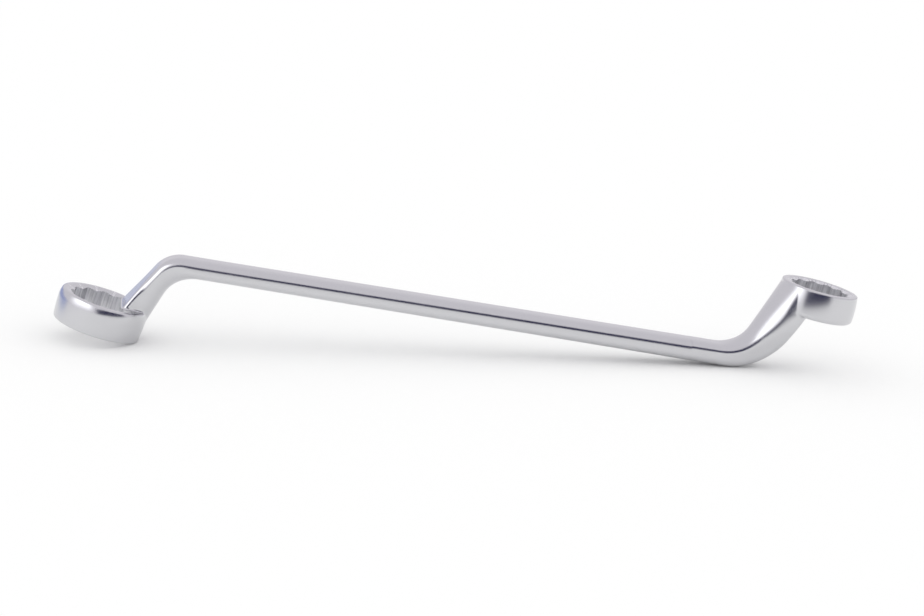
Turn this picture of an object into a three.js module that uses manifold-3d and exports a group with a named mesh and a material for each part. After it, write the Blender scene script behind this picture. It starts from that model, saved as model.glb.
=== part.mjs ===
// Double-ended deep-offset ring spanner, one bent forging in three zones.
// The large ring head, the shank and the small ring head meet face to face on flat section planes.
// Millimetres and degrees. The shank runs along X with the large ring at -X, and +Z is up at rest.

import * as THREE from 'three';
import { mergeVertices } from 'three/addons/utils/BufferGeometryUtils.js';
import Module from 'manifold-3d';

const wasm = await Module();
wasm.setup();

// Sizes of the whole tool
const ringSpacing = 314.4;      // between the centres of the two shank-side ring faces, along the shank
const shankWidth = 15.2;
const shankFullness = 3.0;      // exponent of the shank's rounded section, 2 is an ellipse
const headEndRun = 12;          // straight shank that each head zone keeps past its bend
const boreRunOut = 0.8;         // how far each bore runs on into the root of the neck above it
const cutOverrun = 6;           // how far every cutting tool runs past the faces it cuts

// Sizes of the head that takes the larger bolt
const largeHead = {
  node: 'large_ring_head',
  acrossFlats: 27,
  ringWall: 3.7,                // outside the bore's points, at the free face
  ringHeight: 13.6,
  wallBulge: 0.5,               // the wall stands out by this at half height
  wallTaper: 0.5,               // and by this at the shank-side face
  freeEdgeRadius: 0.5,
  shankEdgeRadius: 1.9,
  leadInDepth: 1.9,             // depth of the chamfer at both mouths of the bore
  leadInMargin: 0.35,           // the chamfer's rim lies this far outside the bore's points
  pointRelief: 0.35,            // the bore's points are cut back by this and rounded
  ringOffset: 19.9,             // from the shank's axis down to the shank-side face
  ringAngle: 8.7,               // between the ring's plane and the shank
  rootReach: 11.7,              // from the ring's outside back to the foot of the neck's inner rail
  innerAngle: 57.6,             // slope of the neck's bore-side rail against the shank
  innerBendRadius: 14.1,
  footInset: 1.7,               // from the ring's free edge back to the foot of the outer rail
  outerAngle: 67.3,
  outerBendRadius: 15.3,
  shankThickness: 8.6,
  neckWidth: 16.8,
  neckFullness: 2.5,
  flareRadius: 24,              // hollow corner between ring wall and neck, seen along the ring's axis
  blendHeight: 3,               // the flanks begin to turn in over this height above that face
};

// Sizes of the head that takes the smaller bolt
const smallHead = {
  node: 'small_ring_head',
  acrossFlats: 24,
  ringWall: 3.55,
  ringHeight: 13.1,
  wallBulge: 0.45,
  wallTaper: 0.15,
  freeEdgeRadius: 0.5,
  shankEdgeRadius: 2.4,
  leadInDepth: 1.7,
  leadInMargin: 0.35,
  pointRelief: 0.3,
  ringOffset: 24.7,
  ringAngle: 3.6,
  rootReach: 11.5,
  innerAngle: 67.5,
  innerBendRadius: 28,
  footInset: 1.4,
  outerAngle: 65.8,
  outerBendRadius: 15.5,
  shankThickness: 9.8,
  neckWidth: 15.0,
  neckFullness: 2.5,
  flareRadius: 22,
  blendHeight: 3,
};

// Counts of facets
const sectionSides = 40;
const ringSides = 64;
const slopeStations = 18;
const bendStations = 9;
const restPasses = 40;
const wallSteps = 6;
const edgeSteps = 4;
const reliefSteps = 2;
const pointCount = 12;

// Shares that shape the loft between ring and neck
const hiddenShare = 0.99;       // the neck starts this far inside the ring's wall and faces
const climbShare = 1.5;         // the flare dies out over the run plus this share of the climb

const steel = { color: 0xc9c9cd, roughness: 0.28, metalness: 1 };

// Solids

function toSolid(geometry) {
  geometry.deleteAttribute('normal');
  geometry.deleteAttribute('uv');
  const merged = mergeVertices(geometry);
  return new wasm.Manifold(new wasm.Mesh({
    numProp: 3,
    vertProperties: new Float32Array(merged.attributes.position.array),
    triVerts: new Uint32Array(merged.index.array),
  }));
}

function toGeometry(solid) {
  const mesh = solid.getMesh();
  const geometry = new THREE.BufferGeometry();
  geometry.setAttribute('position', new THREE.BufferAttribute(mesh.vertProperties, mesh.numProp));
  geometry.setIndex(new THREE.BufferAttribute(mesh.triVerts, 1));
  geometry.computeVertexNormals();
  return geometry;
}

// Closed skin over a list of sections that all have the same number of points, quads cut the short way
function skin(sections) {
  const sides = sections[0].length;
  const positions = sections.flat().flatMap((point) => [point.x, point.y, point.z]);
  const index = [];
  for (let row = 0; row + 1 < sections.length; row += 1) {
    for (let side = 0; side < sides; side += 1) {
      const next = (side + 1) % sides;
      const a = row * sides + side;
      const b = row * sides + next;
      const rising = sections[row][side].distanceTo(sections[row + 1][next]);
      const falling = sections[row][next].distanceTo(sections[row + 1][side]);
      if (rising < falling) {
        index.push(a, b, b + sides, a, b + sides, a + sides);
      } else {
        index.push(a, b, a + sides, b, b + sides, a + sides);
      }
    }
  }
  for (const [row, flip] of [[0, true], [sections.length - 1, false]]) {
    const centre = new THREE.Vector3();
    sections[row].forEach((point) => centre.addScaledVector(point, 1 / sides));
    const hub = positions.length / 3;
    positions.push(centre.x, centre.y, centre.z);
    for (let side = 0; side < sides; side += 1) {
      const a = row * sides + side;
      const b = row * sides + (side + 1) % sides;
      index.push(...(flip ? [b, a, hub] : [a, b, hub]));
    }
  }
  const geometry = new THREE.BufferGeometry();
  geometry.setAttribute('position', new THREE.Float32BufferAttribute(positions, 3));
  geometry.setIndex(index);
  return geometry;
}

// One section: a rounded oval between an inner and an outer rail point, in the plane that holds Y
function section(inner, outer, fullness, halfWidthAt) {
  const middle = inner.clone().add(outer).multiplyScalar(1 / 2);
  const half = inner.clone().sub(outer).multiplyScalar(1 / 2);
  const points = [];
  for (let side = 0; side < sectionSides; side += 1) {
    const turn = (2 * Math.PI * side) / sectionSides;
    const across = Math.sign(Math.cos(turn)) * Math.abs(Math.cos(turn)) ** (2 / fullness);
    const up = Math.sign(Math.sin(turn)) * Math.abs(Math.sin(turn)) ** (2 / fullness);
    const place = middle.clone().addScaledVector(half, up);
    points.push(new THREE.Vector3(place.x, across * halfWidthAt(place), place.y));
  }
  return points;
}

// Radius of a bore out to its points, and of the ring round it at the free face

function boreRadius(head) {
  return head.acrossFlats / 2 / Math.cos(Math.PI / 6);
}

function ringRadius(head) {
  return boreRadius(head) + head.ringWall;
}

// Radius of the ring's wall at a height above or below the shank-side face
function wallRadius(head, rise) {
  const share = THREE.MathUtils.clamp(1 + rise / head.ringHeight, 0, 1);
  const bow = 4 * share * (1 - share) * (head.wallBulge - head.wallTaper / 2);
  return ringRadius(head) + head.wallTaper * share + bow;
}

// Side view of one head, in the plane of x and z, with the ring below and left of the shank

function sideView(head) {
  const tilt = THREE.MathUtils.degToRad(head.ringAngle);
  const along = new THREE.Vector2(Math.cos(tilt), -Math.sin(tilt));
  const axis = new THREE.Vector2(Math.sin(tilt), Math.cos(tilt));
  const centre = new THREE.Vector2(-ringSpacing / 2, -head.ringOffset);
  const at = (run, rise) => centre.clone().addScaledVector(along, run).addScaledVector(axis, rise);
  const local = (point) => {
    const offset = point.clone().sub(centre);
    return { run: offset.dot(along), rise: offset.dot(axis) };
  };
  return { tilt, centre, at, local };
}

// Course of a rail that starts low in the ring, climbs through a given spot and bends level
function railCourse(view, low, spot, slope, level, radius) {
  const angle = THREE.MathUtils.degToRad(slope);
  const foot = view.at(spot.run - (spot.rise - low) / Math.tan(angle + view.tilt), low);
  const corner = new THREE.Vector2(foot.x + (level - foot.y) / Math.tan(angle), level);
  const up = new THREE.Vector2(Math.cos(angle), Math.sin(angle));
  const tangent = radius * Math.tan(angle / 2);
  const start = corner.clone().addScaledVector(up, -tangent);
  const hub = new THREE.Vector2(corner.x + tangent, level - radius);
  return { foot, start, hub, radius, angle };
}

function railPoints(course, endX) {
  const { foot, start, hub, radius, angle } = course;
  const points = [];
  for (let step = 0; step < slopeStations; step += 1) {
    points.push(foot.clone().lerp(start, step / slopeStations));
  }
  for (let step = 0; step <= bendStations; step += 1) {
    const turn = Math.PI / 2 + angle * (1 - step / bendStations);
    points.push(new THREE.Vector2(hub.x + radius * Math.cos(turn), hub.y + radius * Math.sin(turn)));
  }
  points.push(new THREE.Vector2(endX, hub.y + radius));
  return points;
}

// Half width of the flat forging before it is bent: ring, flare and neck in one plan outline
function planHalfWidth(run, wall, flare, endHalfWidth) {
  const flareEnd = Math.sqrt((wall + flare) ** 2 - (endHalfWidth + flare) ** 2);
  const flareStart = (flareEnd * wall) / (wall + flare);
  if (run <= flareStart) {
    return Math.sqrt(wall ** 2 - run ** 2);
  }
  if (run >= flareEnd) {
    return endHalfWidth;
  }
  return endHalfWidth + flare - Math.sqrt(flare ** 2 - (flareEnd - run) ** 2);
}

// Neck and bend of one head, from low inside the ring to the end of the zone

function neckLoft(head) {
  const view = sideView(head);
  const low = -head.ringHeight * hiddenShare;
  const halfThickness = head.shankThickness / 2;
  const innerSpot = { run: ringRadius(head) - head.rootReach, rise: 0 };
  const outerSpot = { run: ringRadius(head) - head.footInset, rise: -head.ringHeight };
  const inner = railCourse(view, low, innerSpot, head.innerAngle, halfThickness, head.innerBendRadius);
  const outer = railCourse(view, low, outerSpot, head.outerAngle, -halfThickness, head.outerBendRadius);
  const endX = Math.max(inner.hub.x, outer.hub.x) + headEndRun;
  const outerPoints = railPoints(outer, endX);
  const flatEnd = slopeStations + bendStations;
  const sections = railPoints(inner, endX).map((innerPoint, station) => {
    const intoShank = THREE.MathUtils.smoothstep(station, slopeStations, flatEnd);
    const fullness = THREE.MathUtils.lerp(head.neckFullness, shankFullness, intoShank);
    const endHalf = THREE.MathUtils.lerp(head.neckWidth, shankWidth, intoShank) / 2;
    return section(innerPoint, outerPoints[station], fullness, (place) => {
      const { run, rise } = view.local(place);
      const wall = wallRadius(head, rise) * hiddenShare;
      const climb = Math.max(rise, 0) ** 2 / (Math.abs(rise) + head.blendHeight);
      return planHalfWidth(run + climb * climbShare, wall, head.flareRadius, endHalf);
    });
  });
  return { sections, endX };
}

// Ring blank with a bowed wall, turned about its own axis

function ringBlank(head) {
  const bottom = -head.ringHeight;
  const profile = [new THREE.Vector2(0, bottom)];
  const freeHub = wallRadius(head, bottom + head.freeEdgeRadius) - head.freeEdgeRadius;
  for (let step = 0; step <= edgeSteps; step += 1) {
    const turn = (Math.PI / 2) * (step / edgeSteps);
    profile.push(new THREE.Vector2(
      freeHub + head.freeEdgeRadius * Math.sin(turn),
      bottom + head.freeEdgeRadius * (1 - Math.cos(turn)),
    ));
  }
  const low = bottom + head.freeEdgeRadius;
  const high = -head.shankEdgeRadius;
  for (let step = 1; step <= wallSteps; step += 1) {
    const rise = THREE.MathUtils.lerp(low, high, step / wallSteps);
    profile.push(new THREE.Vector2(wallRadius(head, rise), rise));
  }
  const shankHub = wallRadius(head, high) - head.shankEdgeRadius;
  for (let step = 1; step <= edgeSteps; step += 1) {
    const turn = (Math.PI / 2) * (step / edgeSteps);
    profile.push(new THREE.Vector2(
      shankHub + head.shankEdgeRadius * Math.cos(turn),
      high + head.shankEdgeRadius * Math.sin(turn),
    ));
  }
  profile.push(new THREE.Vector2(0, 0));
  return new THREE.LatheGeometry(profile, ringSides).rotateX(Math.PI / 2);
}

// Twelve-point bore: two hexagons a twelfth of a turn apart, with rounded points

function boreOutline(head) {
  const pointRadius = boreRadius(head);
  const notchRadius = head.acrossFlats / 2 / Math.cos(Math.PI / 12);
  const pitch = (2 * Math.PI) / pointCount;
  const roundedRadius = pointRadius - head.pointRelief;
  const side = new THREE.Vector2(Math.cos(pitch / 2), Math.sin(pitch / 2)).multiplyScalar(notchRadius)
    .sub(new THREE.Vector2(pointRadius, 0));
  const blend = (roundedRadius - pointRadius) / side.x;
  const shoulder = new THREE.Vector2(pointRadius, 0).addScaledVector(side, 2 * blend);
  const half = Math.atan2(shoulder.y, shoulder.x);
  const outline = [];
  for (let tooth = 0; tooth < pointCount; tooth += 1) {
    for (let step = -reliefSteps; step <= reliefSteps; step += 1) {
      const share = step / reliefSteps;
      const radius = THREE.MathUtils.lerp(roundedRadius, shoulder.length(), share * share);
      const turn = tooth * pitch + half * share;
      outline.push(new THREE.Vector2(radius * Math.cos(turn), radius * Math.sin(turn)));
    }
    const turn = (tooth + 1 / 2) * pitch;
    outline.push(new THREE.Vector2(notchRadius * Math.cos(turn), notchRadius * Math.sin(turn)));
  }
  return outline;
}

function boreTools(head) {
  const depth = head.ringHeight + cutOverrun + boreRunOut;
  const outline = new THREE.Shape(boreOutline(head));
  const broach = new THREE.ExtrudeGeometry(outline, { depth, bevelEnabled: false });
  broach.translate(0, 0, -head.ringHeight - cutOverrun);
  const rimRadius = boreRadius(head) + head.leadInMargin;
  const tipRadius = rimRadius - head.leadInDepth;
  const shankSide = [
    new THREE.Vector2(0, -head.leadInDepth),
    new THREE.Vector2(tipRadius, -head.leadInDepth),
    new THREE.Vector2(rimRadius, 0),
    new THREE.Vector2(rimRadius, boreRunOut),
    new THREE.Vector2(0, boreRunOut),
  ];
  const freeSide = [
    new THREE.Vector2(0, -head.ringHeight - cutOverrun),
    new THREE.Vector2(rimRadius + cutOverrun, -head.ringHeight - cutOverrun),
    new THREE.Vector2(tipRadius, head.leadInDepth - head.ringHeight),
    new THREE.Vector2(0, head.leadInDepth - head.ringHeight),
  ];
  const cones = [shankSide, freeSide].map((profile) => new THREE.LatheGeometry(profile, ringSides).rotateX(Math.PI / 2));
  return [broach, ...cones];
}

function makeHead(head) {
  const view = sideView(head);
  const { sections, endX } = neckLoft(head);
  const place = (geometry) => geometry.rotateY(view.tilt).translate(view.centre.x, 0, view.centre.y);
  let solid = toSolid(skin(sections)).add(toSolid(place(ringBlank(head))));
  for (const tool of boreTools(head)) {
    solid = solid.subtract(toSolid(place(tool)));
  }
  const geometry = toGeometry(solid);
  const mesh = new THREE.Mesh(geometry, new THREE.MeshStandardMaterial(steel));
  mesh.name = head.node;
  return { mesh, endX };
}

// Straight shank between the two heads, slightly thicker towards the small ring

function makeShank(startX, endX) {
  const ends = [
    [startX, largeHead.shankThickness / 2],
    [endX, smallHead.shankThickness / 2],
  ];
  const sections = ends.map(([x, half]) => section(
    new THREE.Vector2(x, half),
    new THREE.Vector2(x, -half),
    shankFullness,
    () => shankWidth / 2,
  ));
  const mesh = new THREE.Mesh(toGeometry(toSolid(skin(sections))), new THREE.MeshStandardMaterial(steel));
  mesh.name = 'shank';
  return mesh;
}

// Tilt at which the tool lies on its large ring and on the bend of the small head

function restTurn(points) {
  const centroid = points.reduce((sum, point) => sum + point.x, 0) / points.length;
  let turn = 0;
  for (let pass = 0; pass < restPasses; pass += 1) {
    const cos = Math.cos(turn);
    const sin = Math.sin(turn);
    let left = null;
    let right = null;
    for (const point of points) {
      const height = point.z * cos - point.x * sin;
      const entry = { height, point };
      if (point.x < centroid && (!left || height < left.height)) {
        left = entry;
      }
      if (point.x >= centroid && (!right || height < right.height)) {
        right = entry;
      }
    }
    turn = Math.atan2(right.point.z - left.point.z, right.point.x - left.point.x);
  }
  return turn;
}

const large = makeHead(largeHead);
const small = makeHead(smallHead);
const smallEnd = new THREE.Group();
smallEnd.rotation.y = Math.PI;
smallEnd.add(small.mesh);

const forging = new THREE.Group();
forging.add(large.mesh, makeShank(large.endX, -small.endX), smallEnd);

forging.updateMatrixWorld(true);
const corners = [];
forging.traverse((node) => {
  if (node.isMesh) {
    const position = node.geometry.attributes.position;
    for (let row = 0; row < position.count; row += 1) {
      corners.push(new THREE.Vector3().fromBufferAttribute(position, row).applyMatrix4(node.matrixWorld));
    }
  }
});
forging.rotation.y = restTurn(corners);
const box = new THREE.Box3();
corners.forEach((point) => box.expandByPoint(point.clone().applyEuler(forging.rotation)));
forging.position.set(-(box.min.x + box.max.x) / 2, 0, -box.min.z);

const group = new THREE.Group();
group.add(forging);
export default group;
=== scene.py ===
"""Double-ended deep-offset ring spanner in satin chrome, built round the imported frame."""

import logging
import math
from dataclasses import dataclass, field
from enum import Enum
from typing import Callable, ClassVar, Iterable, Sequence

import bmesh
import bpy
import numpy as np
from mathutils import Euler, Matrix, Vector


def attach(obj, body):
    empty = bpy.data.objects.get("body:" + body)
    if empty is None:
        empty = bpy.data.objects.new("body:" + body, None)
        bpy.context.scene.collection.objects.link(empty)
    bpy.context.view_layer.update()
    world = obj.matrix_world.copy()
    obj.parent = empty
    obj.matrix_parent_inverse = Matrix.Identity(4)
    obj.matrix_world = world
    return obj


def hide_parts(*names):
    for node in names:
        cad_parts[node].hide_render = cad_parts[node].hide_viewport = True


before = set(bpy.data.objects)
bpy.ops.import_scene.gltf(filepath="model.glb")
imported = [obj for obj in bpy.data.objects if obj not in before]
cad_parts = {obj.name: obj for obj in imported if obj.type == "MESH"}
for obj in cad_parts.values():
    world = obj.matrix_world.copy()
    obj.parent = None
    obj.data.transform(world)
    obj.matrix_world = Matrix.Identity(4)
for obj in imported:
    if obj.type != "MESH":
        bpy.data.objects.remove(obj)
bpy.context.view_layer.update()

LOG = logging.getLogger("ring_spanner")
MILLIMETRE = 0.001
CREASE_ANGLE = 40
ARRAY = np.ndarray
COLOUR = tuple[float, float, float, float]
SETTINGS = dict[str, object] | None
INPUTS = dict[int | str, object] | None


class BodyName(Enum):
    """Bodies of the frame that a piece can ride on."""

    FORGING = "root"


class Slot(Enum):
    """Material slots of the record."""

    CHROME = "satin_chrome"


class Side(Enum):
    """Which end of the shank a head is on, as the sign of its place along X."""

    LARGE = -1
    SMALL = 1


# Node trees


class Socket:
    """A node socket that takes part in Python arithmetic."""

    def __init__(self, graph: "Graph", link: bpy.types.NodeSocket) -> None:
        """Keeps the socket and the graph that it belongs to.

        Args:
            graph: Graph that new nodes go into.
            link: Output socket of a node there.
        """
        self.graph = graph
        self.link = link

    def _math(self, operation: str, *others: "Socket | float") -> "Socket":
        """Adds one Math node that starts from this socket."""
        return self.graph.math(operation, self, *others)

    def __add__(self, other: "Socket | float") -> "Socket":
        """Sum."""
        return self._math("ADD", other)

    def __radd__(self, other: float) -> "Socket":
        """Sum with a number on the left."""
        return self.graph.math("ADD", other, self)

    def __sub__(self, other: "Socket | float") -> "Socket":
        """Difference."""
        return self._math("SUBTRACT", other)

    def __rsub__(self, other: float) -> "Socket":
        """Difference from a number."""
        return self.graph.math("SUBTRACT", other, self)

    def __mul__(self, other: "Socket | float") -> "Socket":
        """Product."""
        return self._math("MULTIPLY", other)

    def __rmul__(self, other: float) -> "Socket":
        """Product with a number on the left."""
        return self.graph.math("MULTIPLY", other, self)

    def __truediv__(self, other: "Socket | float") -> "Socket":
        """Quotient."""
        return self._math("DIVIDE", other)

    def __rtruediv__(self, other: float) -> "Socket":
        """A number over this socket."""
        return self.graph.math("DIVIDE", other, self)

    def __pow__(self, other: "Socket | float") -> "Socket":
        """Power."""
        return self._math("POWER", other)

    def abs(self) -> "Socket":
        """Absolute value."""
        return self._math("ABSOLUTE")

    def sign(self) -> "Socket":
        """Minus one, zero or one."""
        return self._math("SIGN")

    def clamp(self) -> "Socket":
        """This value held between zero and one."""
        return self.graph.math("MAXIMUM", self.graph.math("MINIMUM", self, 1.0), 0.0)

    def step(self, low: float, high: float) -> "Socket":
        """Smooth step from zero to one.

        Args:
            low: Value below which the step is zero.
            high: Value above which it is one.

        Returns:
            The stepped value.
        """
        share = ((self - low) / (high - low)).clamp()
        return share * share * (3.0 - 2.0 * share)

    def window(self, middle: float, half: float, soft: float) -> "Socket":
        """Soft-edged window round a middle value.

        Args:
            middle: Centre of the window.
            half: Half its width.
            soft: Width of each soft edge, centred on the window's border.

        Returns:
            One inside the window and zero outside.
        """
        away = (self - middle).abs()
        return 1.0 - away.step(half - soft / 2, half + soft / 2)


class Graph:
    """Adds nodes to a tree, for shaders, the world and Geometry Nodes alike."""

    COLOUR_MIX_INPUTS: ClassVar[tuple[int, int, int]] = (0, 6, 7)
    COLOUR_MIX_OUTPUT: ClassVar[int] = 2

    def __init__(self, tree: bpy.types.NodeTree) -> None:
        """Starts from an empty tree.

        Args:
            tree: Tree whose nodes are cleared.
        """
        self.tree = tree
        tree.nodes.clear()

    def node(self, kind: str, settings: SETTINGS = None, inputs: INPUTS = None) -> bpy.types.Node:
        """Adds any node.

        Args:
            kind: The node's type, such as ShaderNodeBump.
            settings: Attributes that are set first.
            inputs: Values or sockets, by the name or place of the input.

        Returns:
            The new node.
        """
        node = self.tree.nodes.new(kind)
        for name, value in (settings or {}).items():
            setattr(node, name, value)
        for key, value in (inputs or {}).items():
            self.feed(node.inputs[key], value)
        return node

    def feed(self, target: bpy.types.NodeSocket, value: object) -> None:
        """Links a socket to an input, or sets the input's own value."""
        if isinstance(value, Socket):
            self.tree.links.new(value.link, target)
        elif value is not None:
            target.default_value = value

    def out(self, node: bpy.types.Node, key: int | str = 0) -> Socket:
        """Wraps one output of a node."""
        return Socket(self, node.outputs[key])

    def make(self, kind: str, inputs: INPUTS = None, key: int | str = 0, **settings: object) -> Socket:
        """Adds a node and returns one of its outputs.

        Args:
            kind: The node's type.
            inputs: Values or sockets, by the name or place of the input.
            key: Name or place of the output that is wanted.
            settings: Attributes of the node.

        Returns:
            The wrapped output.
        """
        return self.out(self.node(kind, settings, inputs), key)

    def math(self, operation: str, *values: Socket | float) -> Socket:
        """Adds a Math node on one to three values."""
        return self.make("ShaderNodeMath", dict(enumerate(values)), operation=operation)

    def split(self, vector: Socket) -> tuple[Socket, Socket, Socket]:
        """Takes a vector apart into X, Y and Z."""
        node = self.node("ShaderNodeSeparateXYZ", None, {0: vector})
        return self.out(node, 0), self.out(node, 1), self.out(node, 2)

    def join(self, x: object, y: object, z: object) -> Socket:
        """Makes a vector of three values."""
        return self.make("ShaderNodeCombineXYZ", {0: x, 1: y, 2: z})

    def mix(self, factor: Socket | float, low: COLOUR | Socket, high: COLOUR | Socket) -> Socket:
        """Mixes two colours.

        Args:
            factor: Share of the second colour.
            low: First colour, with alpha.
            high: Second colour, with alpha.

        Returns:
            The mixed colour.
        """
        node = self.node("ShaderNodeMix", {"data_type": "RGBA"})
        for value, place in zip((factor, low, high), self.COLOUR_MIX_INPUTS):
            self.feed(node.inputs[place], value)
        return self.out(node, self.COLOUR_MIX_OUTPUT)


# Meshes


def new_object(name: str, mesh: bpy.types.ID) -> bpy.types.Object:
    """Puts a mesh or a camera into the scene at the origin.

    Args:
        name: Name of the object.
        mesh: Its data.

    Returns:
        The object.
    """
    made = bpy.data.objects.new(name, mesh)
    bpy.context.scene.collection.objects.link(made)
    return made


def mesh_from(name: str, points: ARRAY | list[tuple], faces: ARRAY | list[list[int]]) -> bpy.types.Mesh:
    """Makes a mesh from points in millimetres.

    Args:
        name: Name of the mesh.
        points: Array of places, one row each.
        faces: Corner indices of each face.

    Returns:
        The mesh, in metres.
    """
    corners = faces if isinstance(faces, list) else faces.tolist()
    mesh = bpy.data.meshes.new(name)
    mesh.from_pydata((np.asarray(points) * MILLIMETRE).tolist(), [], corners)
    mesh.update()
    return mesh


def quad(name: str, corners: Sequence[Sequence[float]]) -> bpy.types.Mesh:
    """Makes a mesh of one four-cornered face.

    Args:
        name: Name of the mesh.
        corners: Places of its corners, in metres.

    Returns:
        The mesh.
    """
    mesh = bpy.data.meshes.new(name)
    mesh.from_pydata(corners, [], [[0, 1, 2, 3]])
    return mesh


def baked(thing: bpy.types.Object, name: str) -> bpy.types.Mesh:
    """Applies all modifiers of an object.

    Args:
        thing: The object.
        name: Name of the new mesh.

    Returns:
        The resulting mesh.
    """
    thing.update_tag()
    graph = bpy.context.evaluated_depsgraph_get()
    mesh = bpy.data.meshes.new_from_object(thing.evaluated_get(graph))
    mesh.name = name
    return mesh


def grow(name: str, tree: bpy.types.NodeTree, values: dict[str, object]) -> bpy.types.Mesh:
    """Runs a Geometry Nodes tree and returns the plain result.

    Args:
        name: Name of the new mesh.
        tree: The tree to run.
        values: Values of its named inputs.

    Returns:
        The baked mesh.
    """
    holder = new_object(f"{name}_holder", bpy.data.meshes.new("empty"))
    modifier = holder.modifiers.new(name, "NODES")
    modifier.node_group = tree
    for item in tree.interface.items_tree:
        if item.item_type == "SOCKET" and item.in_out == "INPUT" and item.name in values:
            modifier[item.identifier] = values[item.name]
    mesh = baked(holder, name)
    bpy.data.objects.remove(holder)
    return mesh


def geometry_tree(name: str, inputs: dict[str, type]) -> tuple[Graph, dict[str, Socket]]:
    """Starts a Geometry Nodes tree with named inputs and one for the material.

    Args:
        name: Name of the tree.
        inputs: The name of each input, and whether it is a length or a count.

    Returns:
        The graph and its inputs by name.
    """
    tree = bpy.data.node_groups.new(name, "GeometryNodeTree")
    graph = Graph(tree)
    tree.interface.new_socket(name="Geometry", in_out="INPUT", socket_type="NodeSocketGeometry")
    tree.interface.new_socket(name="Geometry", in_out="OUTPUT", socket_type="NodeSocketGeometry")
    kinds = {float: "NodeSocketFloat", int: "NodeSocketInt", bpy.types.Material: "NodeSocketMaterial"}
    labels = inputs | {"Material": bpy.types.Material}
    for label, kind in labels.items():
        tree.interface.new_socket(name=label, in_out="INPUT", socket_type=kinds[kind])
    source = graph.node("NodeGroupInput")
    return graph, {label: graph.out(source, label) for label in labels}


def finish_tree(graph: Graph, geometry: Socket, material: Socket) -> bpy.types.NodeTree:
    """Ends a Geometry Nodes tree in Realize Instances and Set Material.

    Args:
        graph: Graph of the tree.
        geometry: What the tree has made.
        material: Material that it gets.

    Returns:
        The finished tree.
    """
    real = graph.make("GeometryNodeRealizeInstances", {"Geometry": geometry}, "Geometry")
    dressed = graph.make("GeometryNodeSetMaterial", {"Geometry": real, "Material": material}, "Geometry")
    graph.node("NodeGroupOutput", None, {0: dressed})
    return graph.tree


# Implicit surfaces


def length(*parts: ARRAY) -> ARRAY:
    """Root of the sum of squares."""
    return np.sqrt(sum(part * part for part in parts))


def round_corner(first: ARRAY, second: ARRAY, radius: float) -> ARRAY:
    """Distance to the corner of two faces with a rounded edge.

    Args:
        first: Distance to one face, negative inside.
        second: Distance to the other.
        radius: Radius of the edge.

    Returns:
        Distance to the rounded corner.
    """
    a = first + radius
    b = second + radius
    outside = length(np.maximum(a, 0), np.maximum(b, 0))
    return np.minimum(np.maximum(a, b), 0) + outside - radius


def oval_corner(first: ARRAY, second: ARRAY, reach: ARRAY, depth: ARRAY, fullness: ARRAY) -> ARRAY:
    """Rough distance to the corner of two faces whose edge is a quarter of a full ellipse.

    Args:
        first: Distance to one face, negative inside.
        second: Distance to the other.
        reach: How far the edge reaches into the second face, from the first.
        depth: How far it reaches into the first face, from the second.
        fullness: Power of the ellipse, 2 for a plain one.

    Returns:
        Rough distance to the corner.
    """
    a = np.maximum(first + reach, 0) / reach
    b = np.maximum(second + depth, 0) / depth
    return ((a**fullness + b**fullness) ** (1 / fullness) - 1) * np.minimum(reach, depth)


def smooth_union(first: ARRAY, second: ARRAY, reach: ARRAY | float) -> ARRAY:
    """Distance to two bodies together, with a fillet of a given reach between them."""
    near = np.maximum(reach - np.abs(first - second), 0) / reach
    return np.minimum(first, second) - near * near * reach / 4


def smooth_step(value: ARRAY, low: float, high: float) -> ARRAY:
    """Smooth step from zero at low to one at high."""
    share = np.clip((value - low) / (high - low), 0, 1)
    return share * share * (3 - 2 * share)


@dataclass(frozen=True)
class RingFrame:
    """Side view of one head: where its ring's axis and shank-side face lie."""

    offset: float
    tilt: float
    half_spacing: float

    @property
    def centre(self) -> ARRAY:
        """Centre of the shank-side face, in x and z."""
        return np.array([-self.half_spacing, -self.offset])

    @property
    def along(self) -> ARRAY:
        """Direction in the ring's plane towards the shank."""
        return np.array([math.cos(self.tilt), -math.sin(self.tilt)])

    @property
    def axis(self) -> ARRAY:
        """Direction of the ring's axis towards the shank's side."""
        return np.array([math.sin(self.tilt), math.cos(self.tilt)])

    def at(self, run: float, rise: float) -> ARRAY:
        """Place in the side view of a spot given in the ring's own directions."""
        return self.centre + run * self.along + rise * self.axis

    def local(self, x: ARRAY, z: ARRAY) -> tuple[ARRAY, ARRAY]:
        """Run and rise of places in the side view.

        Args:
            x: Places along the shank.
            z: Places above it.

        Returns:
            The place along the ring's plane and the height along its axis.
        """
        dx = x - self.centre[0]
        dz = z - self.centre[1]
        return dx * self.along[0] + dz * self.along[1], dx * self.axis[0] + dz * self.axis[1]


@dataclass(frozen=True)
class Rail:
    """A line that climbs a slope, rounds a bend and runs on level."""

    foot: ARRAY
    angle: float
    level: float
    radius: float

    @property
    def hub(self) -> ARRAY:
        """Centre of the bend."""
        corner = self.foot[0] + (self.level - self.foot[1]) / math.tan(self.angle)
        return np.array([corner + self.radius * math.tan(self.angle / 2), self.level - self.radius])

    def distance(self, x: ARRAY, z: ARRAY) -> ARRAY:
        """Distance from the rail.

        Args:
            x: Places along the shank.
            z: Places above it.

        Returns:
            The distance, positive above the rail and to its left.
        """
        left = -math.sin(self.angle), math.cos(self.angle)
        hub = self.hub
        dx = x - hub[0]
        dz = z - hub[1]
        slope = dx * left[0] + dz * left[1] - self.radius
        flat = dz - self.radius
        arc = length(dx, dz) - self.radius
        turn = np.arctan2(dz, dx)
        in_bend = (turn > math.pi / 2) & (turn < math.pi / 2 + self.angle)
        bisector = math.pi / 2 + self.angle / 2
        past = -dx * math.sin(bisector) + dz * math.cos(bisector)
        return np.where(in_bend, arc, np.where(past > 0, slope, flat))


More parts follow.
